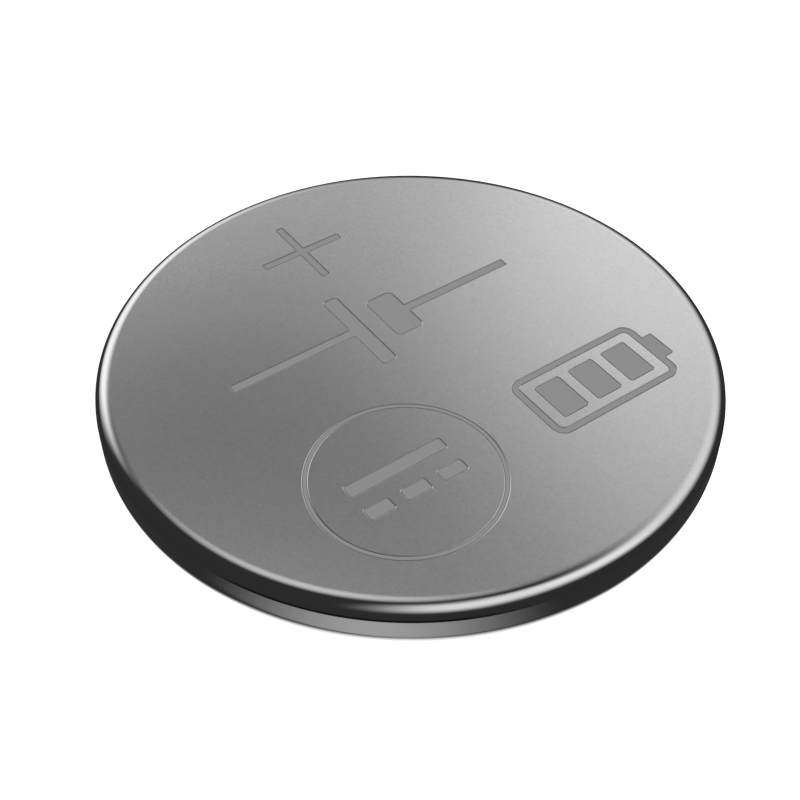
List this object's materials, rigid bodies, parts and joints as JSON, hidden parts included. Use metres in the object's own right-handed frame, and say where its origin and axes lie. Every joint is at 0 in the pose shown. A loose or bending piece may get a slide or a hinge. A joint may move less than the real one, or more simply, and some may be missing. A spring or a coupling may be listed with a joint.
{
  "type": "lithium coin cell",
  "caption": "Flat round coin cell: steel can with rounded, marked positive face, edge rolled over a gasket onto a negative cap.",
  "frame": {"origin": "centre of the negative face, which the cell rests on", "axes": "+Z along the cell's axis, from the negative face to the marked positive face; +X is to the right and +Y away from the viewer when the marks read at 36 degrees, as pictured"},
  "size_m": [0.02, 0.02, 0.0025],
  "materials": {
    "can_steel": "satin stainless steel with a fine grain, brighter on the rounded edge; mark floors matt",
    "gasket_plastic": "moulded polypropylene",
    "cap_steel": "satin stainless steel with faint turned rings",
    "ring_steel": "bare stamped stainless steel",
    "cathode_black": "pressed black manganese dioxide and graphite powder",
    "separator_felt": "white non-woven felt",
    "lithium_metal": "soft silvery metal, slightly dulled"
  },
  "bodies": {
    "root": {"positive_can": "can_steel", "gasket": "gasket_plastic", "negative_cap": "cap_steel", "cathode_ring": "ring_steel", "cathode_pellet": "cathode_black", "separator": "separator_felt", "lithium_disc": "lithium_metal"}
  },
  "joints": []
}
